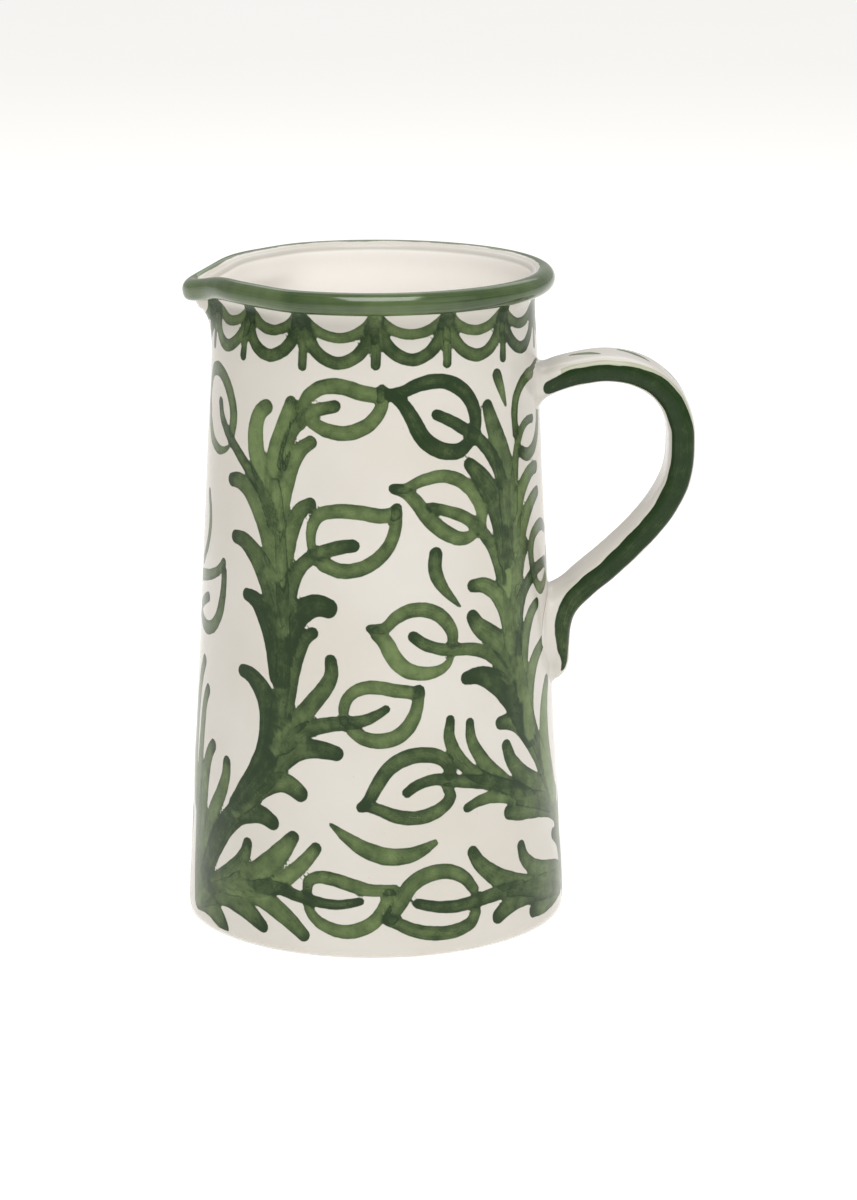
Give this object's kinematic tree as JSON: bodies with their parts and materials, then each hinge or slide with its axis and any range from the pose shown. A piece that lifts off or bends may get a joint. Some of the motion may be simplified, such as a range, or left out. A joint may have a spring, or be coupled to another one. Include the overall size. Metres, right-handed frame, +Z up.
{
  "type": "pitcher",
  "caption": "Tall tapered glazed stoneware pitcher with a pulled spout, a rolled rim and a strap handle luted to its wall.",
  "frame": {"origin": "centre of the flat underside, on the body's axis", "axes": "+Z up along the body's axis, +X towards the handle, -X towards the spout"},
  "size_m": [0.1866, 0.1396, 0.24],
  "materials": {
    "cream_glaze": "glossy cream glaze painted with green foliage",
    "base_stoneware": "glossy cream glaze, unglazed underneath",
    "green_glaze": "glossy green brushed glaze",
    "handle_glaze": "glossy cream glaze with green bands on both edges",
    "glazed_slip": "glossy cream glaze"
  },
  "bodies": {
    "root": {"body_wall": "cream_glaze", "base_slab": "base_stoneware", "rim_coil": "green_glaze", "handle_strap": "handle_glaze", "upper_joint_slip": "glazed_slip", "lower_joint_slip": "glazed_slip"}
  },
  "joints": []
}
